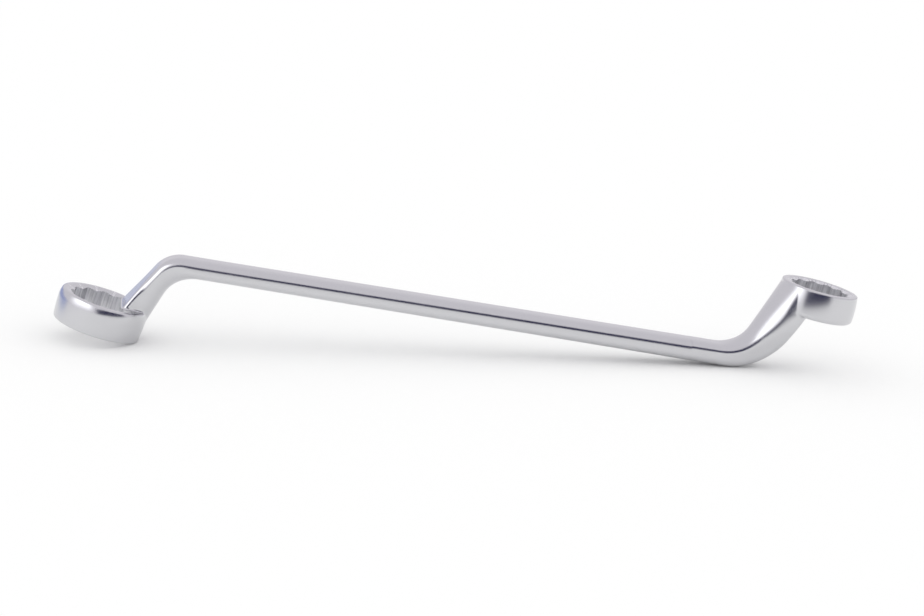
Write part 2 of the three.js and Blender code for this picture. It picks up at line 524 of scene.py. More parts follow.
@dataclass(frozen=True)
class HeadSizes:
    """Sizes of one head, in millimetres and degrees.

    Attributes:
        node: Name of the head's node in the frame.
        side: End of the shank that it is on.
        across_flats: Hexagon that the bore fits.
        ring_wall: Thickness of the ring outside the bore's points.
        ring_height: Height of the ring along its axis.
        wall_bulge: How far the wall's barrel swells at half height.
        wall_taper: Growth of the ring's radius from its free face to its shank side.
        crown_depth: Depth below the shank side at which the wall starts to lean in.
        crown_radius: Radius of that lean.
        free_edge: Rounding of the free face's edge.
        shank_edge: Rounding of the shank side's edge.
        lead_in: Depth of the chamfer at both mouths of the bore.
        lead_width: Width of the chamfer.
        lead_margin: Distance from the bore's points out to the chamfer's rim.
        point_relief: Fillet in the bore's points.
        ring_offset: Drop from the shank's middle line to the ring's shank side.
        ring_angle: Tilt of the ring against the shank.
        root_reach: Distance from the ring's outside to the foot of the inner rail.
        inner_angle: Climb of the inner rail.
        inner_bend: Radius of its bend.
        foot_inset: Distance from the ring's outside to the foot of the outer rail.
        outer_angle: Climb of the outer rail.
        outer_bend: Radius of its bend.
        shank_thickness: Thickness of the shank at this head.
        root_width: Width of the neck at its foot.
        root_length: Length over which it narrows to the neck's own width.
        root_by_rise: 0 where it narrows along the ring's plane, 1 where it narrows along the ring's axis.
        neck_width: Width of the neck.
        root_fillet: Fillet between the neck and the ring's shank side.
        wall_fillet: Fillet between the neck and the ring's wall.
        ridge: Rounding of the neck's inner edges.
        outer_round: Depth of the rounding of its outer edges.
        outer_reach: Width of that rounding.
        outer_fullness: Power of the ellipse that the rounding follows.
        outer_arc: Share of the ring's own circle that the neck's back keeps.
        outer_deepening: Growth of that share up the slope.
    """

    node: str
    side: Side
    across_flats: float
    ring_wall: float
    ring_height: float
    wall_bulge: float
    wall_taper: float
    crown_depth: float
    crown_radius: float
    free_edge: float
    shank_edge: float
    lead_in: float
    lead_width: float
    lead_margin: float
    point_relief: float
    ring_offset: float
    ring_angle: float
    root_reach: float
    inner_angle: float
    inner_bend: float
    foot_inset: float
    outer_angle: float
    outer_bend: float
    shank_thickness: float
    root_width: float
    root_length: float
    root_by_rise: float
    neck_width: float
    root_fillet: float
    wall_fillet: float
    ridge: float
    outer_round: float
    outer_reach: float
    outer_fullness: float
    outer_arc: float
    outer_deepening: float

    @property
    def bore_radius(self) -> float:
        """Radius out to the bore's points."""
        return self.across_flats / 2 / math.cos(math.pi / 6)

    @property
    def ring_radius(self) -> float:
        """Outside radius at the free face."""
        return self.bore_radius + self.ring_wall

    @property
    def rim_radius(self) -> float:
        """Radius of the chamfer's rim at both mouths."""
        return self.bore_radius + self.lead_margin


LARGE = HeadSizes(
    node="large_ring_head", side=Side.LARGE, across_flats=27, ring_wall=3.7, ring_height=13.6,
    wall_bulge=0.5, wall_taper=0.5, crown_depth=4, crown_radius=9.5, free_edge=0.5, shank_edge=0.6,
    lead_in=1.3, lead_width=3.1, lead_margin=1.5, point_relief=2.1, ring_offset=19.9,
    ring_angle=8.7, root_reach=11.7, inner_angle=57.6, inner_bend=14.1, foot_inset=1.7,
    outer_angle=67.3, outer_bend=15.3, shank_thickness=8.6,
    root_width=20.4, root_length=7, root_by_rise=0, neck_width=14.9, root_fillet=1.4, wall_fillet=8,
    ridge=2.4, outer_round=9, outer_reach=7.4, outer_fullness=2, outer_arc=0, outer_deepening=0,
)
SMALL = HeadSizes(
    node="small_ring_head", side=Side.SMALL, across_flats=24, ring_wall=3.55, ring_height=13.1,
    wall_bulge=0.6, wall_taper=0.4, crown_depth=0, crown_radius=9.5, free_edge=0.5, shank_edge=2.0,
    lead_in=1.1, lead_width=2.35, lead_margin=0.9, point_relief=1.9, ring_offset=24.7,
    ring_angle=3.6, root_reach=11.5, inner_angle=67.5, inner_bend=28, foot_inset=0.4,
    outer_angle=65.8, outer_bend=15.5, shank_thickness=9.8,
    root_width=27.6, root_length=28, root_by_rise=1, neck_width=14.9, root_fillet=1.4, wall_fillet=2,
    ridge=2.4, outer_round=2.2, outer_reach=2.2, outer_fullness=2, outer_arc=0.93,
    outer_deepening=0.7,
)


@dataclass(frozen=True)
class ToolSizes:
    """Sizes that both heads and the shank share, in millimetres and degrees."""

    ring_spacing: float = 314.4
    shank_width: float = 15.2
    shank_fullness: float = 3.0
    head_end_run: float = 12.0
    rest_turn: float = 6.802518
    rest_place: tuple[float, float, float] = (1.065337, 0.0, 19.295800)

    @property
    def rest(self) -> Matrix:
        """Matrix from the shank's level frame to the frame of the record, in metres."""
        turn = Euler((0, math.radians(self.rest_turn), 0)).to_matrix().to_4x4()
        return Matrix.Translation(Vector(self.rest_place) * MILLIMETRE) @ turn


TOOL = ToolSizes()


@dataclass
class Forging:
    """Outer form of one head before it is bored: ring, neck and bend as one smooth surface.

    Attributes:
        sizes: Sizes of the head.
        grid: Spacing of the grid that finds the surface, in millimetres.
        ring: Side view of the ring.
        inner: Rail on the inside of the bend.
        outer: Rail on its outside.
    """

    PROBE: ClassVar[float] = 0.05
    LEAST_SLOPE: ClassVar[float] = 0.05
    LEAST_SQUARE: ClassVar[float] = 0.2
    LEAST_REACH: ClassVar[float] = 0.01
    WALL_FILLET_RISE: ClassVar[float] = -6.0
    ROOT_FILLET_RISE: ClassVar[float] = -1.0
    FREE_FACE_FADE: ClassVar[float] = 5.0
    PLAIN_ELLIPSE: ClassVar[float] = 2.0
    END_OVERRUN: ClassVar[float] = 1.0
    SIDE_MARGIN: ClassVar[float] = 2.3
    TIP_MARGIN: ClassVar[float] = 5.0
    FLOOR_MARGIN: ClassVar[float] = 8.0
    END_MARGIN: ClassVar[float] = 3.0
    TOP_MARGIN: ClassVar[float] = 2.0
    SETTLING_PASSES: ClassVar[int] = 4

    sizes: HeadSizes
    grid: float = 0.4
    ring: RingFrame = field(init=False)
    inner: Rail = field(init=False)
    outer: Rail = field(init=False)

    def __post_init__(self) -> None:
        """Lays out the ring and the two rails that bound the neck."""
        sizes = self.sizes
        tilt = math.radians(sizes.ring_angle)
        self.ring = RingFrame(sizes.ring_offset, tilt, TOOL.ring_spacing / 2)
        half = sizes.shank_thickness / 2
        inner_foot = self.ring.at(sizes.ring_radius - sizes.root_reach, 0)
        outer_foot = self.ring.at(sizes.ring_radius - sizes.foot_inset, -sizes.ring_height)
        self.inner = Rail(inner_foot, math.radians(sizes.inner_angle), half, sizes.inner_bend)
        self.outer = Rail(outer_foot, math.radians(sizes.outer_angle), -half, sizes.outer_bend)

    @property
    def end_x(self) -> float:
        """Where this head's zone ends along the shank."""
        return max(self.inner.hub[0], self.outer.hub[0]) + TOOL.head_end_run

    @property
    def bend(self) -> tuple[float, float]:
        """Where the outer bend starts and where the last bend ends, along the shank."""
        start = self.outer.hub[0] - self.outer.radius * math.sin(self.outer.angle)
        return start, self.end_x - TOOL.head_end_run

    def wall(self, rise: ARRAY) -> ARRAY:
        """Radius of the ring's wall: a slight barrel that may lean in towards the shank side.

        Args:
            rise: Height along the ring's axis, zero at its shank side.

        Returns:
            The radius there.
        """
        sizes = self.sizes
        share = np.clip(1 + rise / sizes.ring_height, 0, 1)
        bow = 4 * share * (1 - share) * (sizes.wall_bulge - sizes.wall_taper / 2)
        above = np.maximum(np.minimum(rise, 0) + sizes.crown_depth, 0)
        lean = above * above / (2 * sizes.crown_radius)
        return sizes.ring_radius + sizes.wall_taper * share + bow - lean

    def ring_distance(self, x: ARRAY, y: ARRAY, z: ARRAY) -> ARRAY:
        """Distance to the ring blank.

        Args:
            x: Places along the shank.
            y: Places across it.
            z: Places above it.

        Returns:
            The distance, negative inside.
        """
        run, rise = self.ring.local(x, z)
        side = length(run, y) - self.wall(rise)
        upper = round_corner(side, rise, self.sizes.shank_edge)
        lower = round_corner(side, -self.sizes.ring_height - rise, self.sizes.free_edge)
        return np.maximum(upper, lower)

    def neck_half_width(self, run: ARRAY, rise: ARRAY, into_shank: ARRAY) -> ARRAY:
        """Half width of the neck, wide at its foot and as wide as the shank at its end.

        Args:
            run: Place along the ring's plane, from its centre.
            rise: Height along the ring's axis, zero at its shank side.
            into_shank: Share of the way into the shank.

        Returns:
            The half width.
        """
        sizes = self.sizes
        width = sizes.neck_width + (TOOL.shank_width - sizes.neck_width) * into_shank
        past_foot = run - sizes.ring_radius + sizes.root_reach
        climbed = past_foot + (rise - past_foot) * sizes.root_by_rise
        extra = (sizes.root_width - sizes.neck_width) * (1 - smooth_step(climbed, 0, sizes.root_length))
        return (width + extra) / 2

    def back_sag(self, y: ARRAY, rise: ARRAY, into_shank: ARRAY) -> ARRAY:
        """How far the neck's back falls away from its outer rail, beside the middle.

        Args:
            y: Places across the tool.
            rise: Height along the ring's axis, zero at its shank side.
            into_shank: Share of the way into the shank.

        Returns:
            The sag, from the ring's own circle.
        """
        sizes = self.sizes
        across = np.minimum(np.abs(y), sizes.ring_radius)
        deeper = sizes.outer_deepening * smooth_step(rise, -sizes.ring_height, sizes.ring_height)
        arc = sizes.outer_arc * (1 + deeper) * (1 - into_shank)
        sag = sizes.ring_radius - np.sqrt(sizes.ring_radius**2 - across**2)
        return sag * arc

    def neck_distance(self, x: ARRAY, y: ARRAY, z: ARRAY) -> ARRAY:
        """Rough distance to the bar of neck and bend.

        Args:
            x: Places along the shank.
            y: Places across it.
            z: Places above it.

        Returns:
            The distance, negative inside.
        """
        sizes = self.sizes
        run, rise = self.ring.local(x, z)
        bend_start, bend_end = self.bend
        into_shank = smooth_step(x, bend_start, bend_end)
        from_root = smooth_step(x, self.inner.foot[0], bend_end)
        end_half = self.neck_half_width(run, rise, into_shank)
        half = sizes.shank_thickness / 2
        ridge_y = sizes.ridge + (end_half - sizes.ridge) * from_root
        ridge_z = sizes.ridge + (half - sizes.ridge) * from_root
        back_y = sizes.outer_reach + (end_half - sizes.outer_reach) * into_shank
        back_z = sizes.outer_round + (half - sizes.outer_round) * into_shank
        ridge_fullness = self.PLAIN_ELLIPSE + (TOOL.shank_fullness - self.PLAIN_ELLIPSE) * from_root
        back_fullness = sizes.outer_fullness + (TOOL.shank_fullness - sizes.outer_fullness) * into_shank
        flank = np.abs(y) - end_half
        inner = self.inner.distance(x, z)
        outer = -self.outer.distance(x, z) + self.back_sag(y, rise, into_shank)
        upper = oval_corner(flank, inner, ridge_y, ridge_z, ridge_fullness)
        lower = oval_corner(flank, outer, back_y, back_z, back_fullness)
        heel = round_corner(outer, -sizes.ring_height - rise, sizes.free_edge)
        return np.maximum(np.maximum(upper, lower), heel)

    def gradient(self, distance: Callable[..., ARRAY], x: ARRAY, y: ARRAY, z: ARRAY) -> list[ARRAY]:
        """Central differences of a distance.

        Args:
            distance: The distance, as a function of X, Y and Z.
            x: Places along the shank.
            y: Places across it.
            z: Places above it.

        Returns:
            Its slopes along X, Y and Z.
        """
        h = self.PROBE
        return [
            (distance(x + h, y, z) - distance(x - h, y, z)) / (2 * h),
            (distance(x, y + h, z) - distance(x, y - h, z)) / (2 * h),
            (distance(x, y, z + h) - distance(x, y, z - h)) / (2 * h),
        ]

    def distance(self, x: ARRAY, y: ARRAY, z: ARRAY) -> ARRAY:
        """Distance to ring and neck together, with a fillet where they meet at an angle.

        Args:
            x: Places along the shank.
            y: Places across it.
            z: Places above it.

        Returns:
            The distance, negative inside.
        """
        sizes = self.sizes
        ring = self.ring_distance(x, y, z)
        neck = self.neck_distance(x, y, z)
        ring_slope = self.gradient(self.ring_distance, x, y, z)
        neck_slope = self.gradient(self.neck_distance, x, y, z)
        ring_size = np.maximum(length(*ring_slope), self.LEAST_SLOPE)
        neck_size = np.maximum(length(*neck_slope), self.LEAST_SLOPE)
        facing = sum(a * b for a, b in zip(ring_slope, neck_slope)) / (ring_size * neck_size)
        _, rise = self.ring.local(x, z)
        at_root = smooth_step(rise, self.WALL_FILLET_RISE, self.ROOT_FILLET_RISE)
        fillet = sizes.wall_fillet + (sizes.root_fillet - sizes.wall_fillet) * at_root
        above_floor = smooth_step(rise, -sizes.ring_height, -sizes.ring_height + self.FREE_FACE_FADE)
        reach = fillet * np.clip(1 - facing, 0.0, 1.0) * above_floor + self.LEAST_REACH
        return np.maximum(smooth_union(ring, neck / neck_size, reach), x - self.end_x - self.END_OVERRUN)

    def mesh(self, name: str) -> bpy.types.Mesh:
        """Finds the surface on a grid and settles its points on it.

        Args:
            name: Name of the mesh.

        Returns:
            The closed mesh, in the shank's level frame, with X along the shank.
        """
        sizes = self.sizes
        reach = sizes.ring_radius + self.SIDE_MARGIN
        tip = -TOOL.ring_spacing / 2 - reach - self.TIP_MARGIN
        bottom = -sizes.ring_offset - sizes.ring_height - self.FLOOR_MARGIN
        low = np.array([tip, -reach, bottom])
        high = np.array([self.end_x + self.END_MARGIN, reach, sizes.shank_thickness / 2 + self.TOP_MARGIN])
        count = np.ceil((high - low) / self.grid).astype(int)
        axes = [low[k] + self.grid * np.arange(count[k]) for k in range(3)]
        values = self.distance(*np.meshgrid(*axes, indexing="ij", sparse=True))
        points, faces = surface_nets(values, low, self.grid)
        for _ in range(self.SETTLING_PASSES):
            value = self.distance(*points.T)
            slope = np.stack(self.gradient(self.distance, *points.T), axis=-1)
            square = np.maximum((slope * slope).sum(axis=1), self.LEAST_SQUARE)
            step = np.clip(value / square, -self.grid / 2, self.grid / 2)
            points = points - slope * step[:, None]
        return mesh_from(name, points, faces)


def surface_nets(values: ARRAY, low: ARRAY, spacing: float) -> tuple[ARRAY, ARRAY]:
    """Finds the zero surface of a grid of distances.

    Args:
        values: Distances on the grid, negative inside.
        low: Place of the grid's first point.
        spacing: Distance between grid points.

    Returns:
        Points and four-cornered faces that point outwards.
    """
    inside = values < 0
    corners = [(i, j, k) for i in (0, 1) for j in (0, 1) for k in (0, 1)]
    size = np.array(values.shape) - 1

    def corner(array: ARRAY, offset: Sequence[int]) -> ARRAY:
        """Slice of all cells' corners at one offset."""
        return array[tuple(slice(o, o + s) for o, s in zip(offset, size))]

    crossed = sum(corner(inside, c).astype(np.int8) for c in corners)
    cells = np.argwhere((crossed > 0) & (crossed < 8))
    number = np.full(size, -1, dtype=np.int64)
    number[tuple(cells.T)] = np.arange(len(cells))
    total = np.zeros((len(cells), 3))
    hits = np.zeros(len(cells))
    for first in corners:
        for axis in range(3):
            if first[axis] == 1:
                continue
            second = list(first)
            second[axis] = 1
            a = values[tuple((cells + first).T)]
            b = values[tuple((cells + second).T)]
            cut = (a < 0) != (b < 0)
            share = np.where(cut, a / np.where(cut, a - b, 1), 0)
            spot = np.array(first)[None, :] + share[:, None] * (np.array(second) - np.array(first))
            total += spot * cut[:, None]
            hits += cut
    points = low + spacing * (cells + total / hits[:, None])
    faces = []
    for axis in range(3):
        u, v = (axis + 1) % 3, (axis + 2) % 3
        near = [slice(None)] * 3
        far = [slice(None)] * 3
        near[axis] = slice(0, -1)
        far[axis] = slice(1, None)
        change = inside[tuple(near)].astype(np.int8) - inside[tuple(far)].astype(np.int8)
        edges = np.argwhere(change != 0)
        keep = (edges[:, u] > 0) & (edges[:, v] > 0) & (edges[:, u] < size[u]) & (edges[:, v] < size[v])
        edges = edges[keep]
        outward = change[tuple(edges.T)] > 0
        ring = []
        for du, dv in ((-1, -1), (0, -1), (0, 0), (-1, 0)):
            cell = edges.copy()
            cell[:, u] += du
            cell[:, v] += dv
            ring.append(number[tuple(cell.T)])
        quads = np.stack(ring, axis=1)
        quads[~outward] = quads[~outward][:, ::-1]
        faces.append(quads)
    return points, np.concatenate(faces)


# Cutters


class Broach:
    """Geometry Nodes tree that makes the twelve-point broach."""

    POINTS: ClassVar[int] = 12
    FILLET_STEPS: ClassVar[int] = 8
    WELD: ClassVar[float] = 1e-7

    @staticmethod
    def tree() -> bpy.types.NodeTree:
        """Builds the tree of a twelve-point prism along Z with rounded points.

        Returns:
            The tree.
        """
        labels = ("Point Radius", "Notch Radius", "Point Fillet", "Notch Fillet", "Low", "High")
        graph, given = geometry_tree("twelve_point_broach", {label: float for label in labels})
        radii = {"Inner Radius": given["Notch Radius"], "Outer Radius": given["Point Radius"]}
        star = graph.node("GeometryNodeCurveStar", None, {"Points": Broach.POINTS} | radii)
        outer = graph.out(star, "Outer Points")
        fillet = given["Notch Fillet"] + (given["Point Fillet"] - given["Notch Fillet"]) * outer
        rounding = {"Radius": fillet, "Limit Radius": True, "Count": Broach.FILLET_STEPS}
        outline = {"Curve": graph.out(star, "Curve")} | rounding
        rounded = graph.make("GeometryNodeFilletCurve", outline, "Curve", mode="POLY")
        filled = graph.make("GeometryNodeFillCurve", {"Curve": rounded}, "Mesh", mode="NGONS")
        down = {"Geometry": filled, "Translation": graph.join(0.0, 0.0, given["Low"])}
        lowered = graph.make("GeometryNodeTransform", down, "Geometry")
        rise = {"Offset": graph.join(0.0, 0.0, 1.0), "Offset Scale": given["High"] - given["Low"]}
        pull = {"Mesh": lowered, "Individual": False} | rise
        raised = graph.make("GeometryNodeExtrudeMesh", pull, "Mesh", mode="FACES")
        joined = graph.node("GeometryNodeJoinGeometry")
        graph.feed(joined.inputs[0], graph.make("GeometryNodeFlipFaces", {"Mesh": lowered}, "Mesh"))
        graph.feed(joined.inputs[0], raised)
        seam = {"Geometry": graph.out(joined), "Distance": Broach.WELD}
        welded = graph.make("GeometryNodeMergeByDistance", seam, "Geometry")
        return finish_tree(graph, welded, given["Material"])


def lathe(name: str, profile: Sequence[tuple[float, float]], sides: int) -> bpy.types.Mesh:
    """Turns a closed profile that starts and ends on the axis about Z.

    Args:
        name: Name of the mesh.
        profile: Radius and height of each point, from bottom to top.
        sides: Number of steps round the axis.

    Returns:
        The closed mesh.
    """
    points = [(0.0, 0.0, profile[0][1])]
    for radius, height in profile[1:-1]:
        for side in range(sides):
            turn = 2 * math.pi * side / sides
            points.append((radius * math.cos(turn), radius * math.sin(turn), height))
    points.append((0.0, 0.0, profile[-1][1]))
    top = len(points) - 1
    rows = len(profile) - 2
    faces: list[list[int]] = []
    for side in range(sides):
        after = (side + 1) % sides
        faces.append([0, 1 + after, 1 + side])
        for row in range(rows - 1):
            a = 1 + row * sides
            b = a + sides
            faces.append([a + side, a + after, b + after, b + side])
        last = 1 + (rows - 1) * sides
        faces.append([last + side, last + after, top])
    return mesh_from(name, points, faces)


def cut(body: bpy.types.Object, tool: bpy.types.Mesh) -> None:
    """Takes a tool's solid away from a body.

    Args:
        body: Object whose mesh is replaced by the result.
        tool: Closed mesh of the cutter, in the same frame.
    """
    cutter = new_object(f"{tool.name}_cutter", tool)
    modifier = body.modifiers.new("cut", "BOOLEAN")
    modifier.operation = "DIFFERENCE"
    modifier.solver = "MANIFOLD"
    modifier.object = cutter
    mesh = baked(body, body.name)
    body.modifiers.clear()
    body.data = mesh
    bpy.data.objects.remove(cutter)


# Pieces


@dataclass
class RingHead:
    """One ring head: its forged form, bored and chamfered.

    Attributes:
        sizes: Sizes of the head.
        finish: Its plate.
    """

    GRAIN: ClassVar[str] = "bore_grain"
    BROACHED: ClassVar[str] = "broached"
    STREAK: ClassVar[float] = 25.0
    OVERRUN: ClassVar[float] = 6.0
    SKIN: ClassVar[float] = 0.05
    LIP: ClassVar[float] = 0.25
    HAIR: ClassVar[float] = 0.001
    NOTCH_FILLET: ClassVar[float] = 0.2
    WALL_SLACK: ClassVar[float] = 0.05
    MOUTH_SLACK: ClassVar[float] = 0.02
    LATHE_SIDES: ClassVar[int] = 192
    END_BLOCK: ClassVar[float] = 80.0

    sizes: HeadSizes
    finish: "SatinChrome"

    def to_rest(self) -> Matrix:
        """Matrix from this head's own side view to the frame of the record."""
        if self.sizes.side is Side.SMALL:
            return TOOL.rest @ Euler((0, math.pi, 0)).to_matrix().to_4x4()
        return TOOL.rest

    def bore_cutters(self, forging: Forging) -> Iterable[bpy.types.Mesh]:
        """Makes the broach and both lead-in cones, in the head's side view.

        Args:
            forging: The head's layout.

        Returns:
            The three closed cutters, one after another.
        """
        sizes = self.sizes
        node = sizes.node
        notch = sizes.across_flats / 2 / math.cos(math.pi / Broach.POINTS)
        free = -sizes.ring_height
        lengths = {
            "Point Radius": sizes.bore_radius, "Notch Radius": notch,
            "Point Fillet": sizes.point_relief, "Notch Fillet": self.NOTCH_FILLET,
            "Low": free - self.OVERRUN, "High": self.SKIN,
        }
        given = {label: value * MILLIMETRE for label, value in lengths.items()}
        broach = grow(f"{node}_broach", Broach.tree(), given | {"Material": self.finish.material()})
        rim = sizes.rim_radius
        tip = rim - sizes.lead_width
        upper = [(0, -sizes.lead_in), (tip, -sizes.lead_in), (rim, 0), (rim, self.SKIN), (0, self.SKIN)]
        wide = rim + self.LIP
        lower = [
            (0, free - self.OVERRUN), (wide + self.OVERRUN, free - self.OVERRUN), (wide, free - self.HAIR),
            (rim, free + self.LIP), (tip, free + sizes.lead_in), (0, free + sizes.lead_in),
        ]
        shank_side = lathe(f"{node}_upper_lead_in", upper, self.LATHE_SIDES)
        free_side = lathe(f"{node}_lower_lead_in", lower, self.LATHE_SIDES)
        tilt = Euler((0, forging.ring.tilt, 0)).to_matrix().to_4x4()
        centre = Vector((forging.ring.centre[0], 0, forging.ring.centre[1])) * MILLIMETRE
        for mesh in (broach, shank_side, free_side):
            mesh.transform(Matrix.Translation(centre) @ tilt)
            yield mesh

    def end_cutter(self, forging: Forging) -> bpy.types.Mesh:
        """Makes the block whose near face is the plane where the head meets the shank.

        Args:
            forging: The head's layout.

        Returns:
            The closed cutter.
        """
        block = self.END_BLOCK * MILLIMETRE
        solid = bmesh.new()
        bmesh.ops.create_cube(solid, size=block)
        bmesh.ops.translate(solid, verts=solid.verts, vec=(forging.end_x * MILLIMETRE + block / 2, 0, 0))
        end = bpy.data.meshes.new("end_cut")
        solid.to_mesh(end)
        solid.free()
        return end

    def mark_bore(self, mesh: bpy.types.Mesh, forging: Forging) -> None:
        """Marks the broached faces, and stores how points lie against the ring's axis.

        Args:
            mesh: Mesh of the head, in its side view.
            forging: The head's layout.
        """
        places = np.empty(len(mesh.vertices) * 3)
        mesh.vertices.foreach_get("co", places)
        x, y, z = places.reshape(-1, 3).T / MILLIMETRE
        run, rise = forging.ring.local(x, z)
        grain = mesh.attributes.new(self.GRAIN, "FLOAT_VECTOR", "POINT")
        grain.data.foreach_set("vector", np.stack([run, y, rise / self.STREAK], axis=-1).ravel())
        centres = np.empty(len(mesh.polygons) * 3)
        mesh.polygons.foreach_get("center", centres)
        x, y, z = centres.reshape(-1, 3).T / MILLIMETRE
        run, rise = forging.ring.local(x, z)
        bored = (length(run, y) < self.sizes.bore_radius + self.WALL_SLACK) & (rise < -self.MOUTH_SLACK)
        broached = mesh.attributes.new(self.BROACHED, "FLOAT", "FACE")
        broached.data.foreach_set("value", bored.astype(np.float32))

    def build(self) -> bpy.types.Object:
        """Builds the head, bores it and puts it where its node is.

        Returns:
            The finished piece.
        """
        forging = Forging(self.sizes)
        made = new_object(f"{self.sizes.node}_form", forging.mesh(self.sizes.node))
        cut(made, self.end_cutter(forging))
        for tool in self.bore_cutters(forging):
            cut(made, tool)
        self.mark_bore(made.data, forging)
        made.data.transform(self.to_rest())
        crease(made.data, CREASE_ANGLE)
        self.finish.dress(made)
        return made


def crease(mesh: bpy.types.Mesh, angle: float) -> None:
    """Shades a mesh smooth, except over edges that are sharper than an angle in degrees."""
    mesh.shade_smooth()
    mesh.set_sharp_from_angle(angle=math.radians(angle))


@dataclass
class Shank:
    """Straight shank, slightly thicker towards the small ring.

    Attributes:
        start: Where it starts along X, in millimetres.
        end: Where it ends.
        finish: Its plate.
        sides: Steps round its section.
        rows: Steps along it.
    """

    start: float
    end: float
    finish: "SatinChrome"
    sides: int = 96
    rows: int = 120

    @staticmethod
    def tree() -> bpy.types.NodeTree:
        """Builds the tree of a bar with a rounded section whose thickness runs evenly from end to end.

        Returns:
            The tree.
        """
        labels = ("Start", "End", "Width", "Start Thickness", "End Thickness", "Fullness")
        counts = {"Sides": int, "Rows": int}
        graph, given = geometry_tree("tapered_bar", {label: float for label in labels} | counts)
        size = {"Vertices": given["Sides"], "Side Segments": given["Rows"], "Radius": 1.0, "Depth": 2.0}
        rod = graph.make("GeometryNodeMeshCylinder", size, "Mesh", fill_type="NGON")
        x, y, z = graph.split(graph.make("GeometryNodeInputPosition"))
        along = (z + 1.0) / 2.0
        power = 2.0 / given["Fullness"]
        thick = given["Start Thickness"] + (given["End Thickness"] - given["Start Thickness"]) * along
        across = y.sign() * (y.abs() ** power) * given["Width"] / 2.0
        up = x.sign() * (x.abs() ** power) * thick / 2.0
        place = graph.join(given["Start"] + (given["End"] - given["Start"]) * along, across, up)
        formed = graph.make("GeometryNodeSetPosition", {"Geometry": rod, "Position": place}, "Geometry")
        turned = graph.make("GeometryNodeFlipFaces", {"Mesh": formed}, "Mesh")
        return finish_tree(graph, turned, given["Material"])

    def build(self) -> bpy.types.Object:
        """Builds the shank where its node is.

        Returns:
            The finished piece.
        """
        lengths = {
            "Start": self.start, "End": self.end, "Width": TOOL.shank_width,
            "Start Thickness": LARGE.shank_thickness, "End Thickness": SMALL.shank_thickness,
        }
        given: dict[str, object] = {label: value * MILLIMETRE for label, value in lengths.items()}
        given |= {"Fullness": TOOL.shank_fullness, "Sides": self.sides, "Rows": self.rows}
        mesh = grow("shank_bar", self.tree(), given | {"Material": self.finish.material()})
        mesh.transform(TOOL.rest)
        made = new_object("shank_form", mesh)
        crease(mesh, CREASE_ANGLE)
        self.finish.dress(made)
        return made


# Finishes


@dataclass(frozen=True)
class SatinChrome:
    """Satin chrome plate over a polished forging, thin and streaked in the broached bores.

    Attributes:
        name: Name of the material.
        plate: Darker and lighter tone of the plate.
        bore: Darker and lighter tone of the bore's walls.
        roughness: Roughness at the least.
        cloud_roughness: Roughness that the plate's clouds add.
        bore_roughness: Roughness that the bore's walls add.
        cloud_scale: Scale of the clouds.
        grain_scale: Scale of the satin grain.
        streak_scale: Scale of the broach's streaks.
        streak_tones: Noise between which the streaks turn from dark to light.
        grain_height: Height of the grain, in units of the bump.
        streak_height: Height of the streaks.
        bump: Strength and distance of the bump.
    """

    name: str = "satin_chrome_plate"
    plate: tuple[COLOUR, COLOUR] = ((0.60, 0.60, 0.62, 1.0), (0.63, 0.63, 0.65, 1.0))
    bore: tuple[COLOUR, COLOUR] = ((0.66, 0.66, 0.68, 1.0), (0.88, 0.88, 0.90, 1.0))
    roughness: float = 0.2
    cloud_roughness: float = 0.06
    bore_roughness: float = 0.06
    cloud_scale: float = 90.0
    grain_scale: float = 2600.0
    streak_scale: float = 1.6
    streak_tones: tuple[float, float] = (0.35, 0.65)
    grain_height: float = 0.1
    streak_height: float = 3.0
    bump: tuple[float, float] = (0.6, 0.0001)

    @staticmethod
    def noise(graph: Graph, place: Socket, scale: float, detail: float) -> Socket:
        """Adds a noise texture and returns its value."""
        return graph.make("ShaderNodeTexNoise", {"Vector": place, "Scale": scale, "Detail": detail}, "Fac")

    def material(self) -> bpy.types.Material:
        """Builds the material, once for all pieces.

        Returns:
            The material.
        """
        known = bpy.data.materials.get(self.name)
        if known:
            return known
        made = bpy.data.materials.new(self.name)
        made.use_nodes = True
        graph = Graph(made.node_tree)
        place = graph.make("ShaderNodeTexCoord", None, "Object")
        bored = graph.make("ShaderNodeAttribute", None, "Fac", attribute_name=RingHead.BROACHED)
        spots = graph.make("ShaderNodeAttribute", None, "Vector", attribute_name=RingHead.GRAIN)
        cloud = self.noise(graph, place, self.cloud_scale, detail=3.0)
        grain = self.noise(graph, place, self.grain_scale, detail=2.0)
        streaks = self.noise(graph, spots, self.streak_scale, detail=4.0)
        height = grain * (1.0 - bored) * self.grain_height + streaks * bored * self.streak_height
        strength, distance = self.bump
        relief = {"Height": height, "Strength": strength, "Distance": distance}
        normal = graph.make("ShaderNodeBump", relief, "Normal")
        plate = graph.mix(cloud, *self.plate)
        wall = graph.mix(streaks.step(*self.streak_tones), *self.bore)
        rough = self.roughness + cloud * self.cloud_roughness + bored * self.bore_roughness
        looks = {"Base Color": graph.mix(bored, plate, wall), "Metallic": 1.0, "Roughness": rough}
        shader = graph.make("ShaderNodeBsdfPrincipled", looks | {"Normal": normal}, "BSDF")
        graph.node("ShaderNodeOutputMaterial", None, {"Surface": shader})
        return made

    def dress(self, piece: bpy.types.Object) -> None:
        """Gives a piece this finish alone."""
        piece.data.materials.clear()
        piece.data.materials.append(self.material())


# Studio


